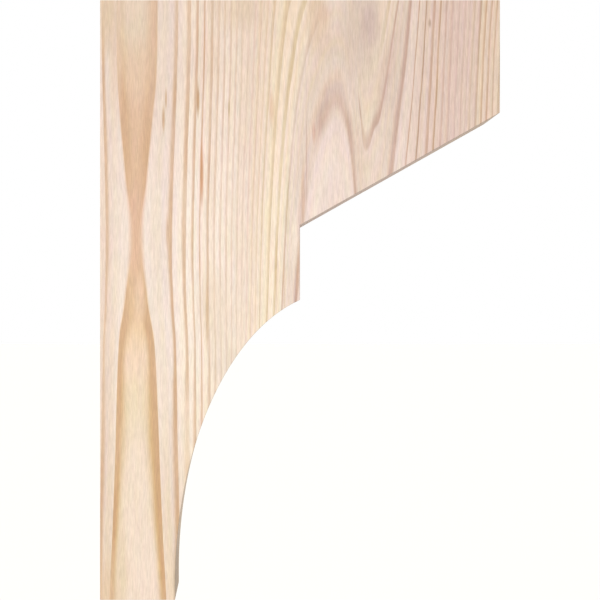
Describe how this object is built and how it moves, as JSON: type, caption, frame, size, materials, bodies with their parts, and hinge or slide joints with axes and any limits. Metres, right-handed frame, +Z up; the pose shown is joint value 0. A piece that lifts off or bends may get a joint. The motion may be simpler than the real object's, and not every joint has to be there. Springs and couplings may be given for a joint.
{
  "type": "wooden corbel bracket",
  "caption": "Solid timber corbel with a flat wall face and flat top, a blunt nose, a sloping underside, an upright step and a long cove down to a narrow foot.",
  "frame": {"origin": "centre of the flat wall face, where the bracket is fixed to its wall or post", "axes": "+X straight out of the wall towards the nose, +Y through the thickness, +Z up towards the flat top"},
  "size_m": [0.4064, 0.0888, 0.6096],
  "materials": {
    "corbel_wood": "matte"
  },
  "bodies": {
    "root": {"corbel": "corbel_wood"}
  },
  "joints": []
}
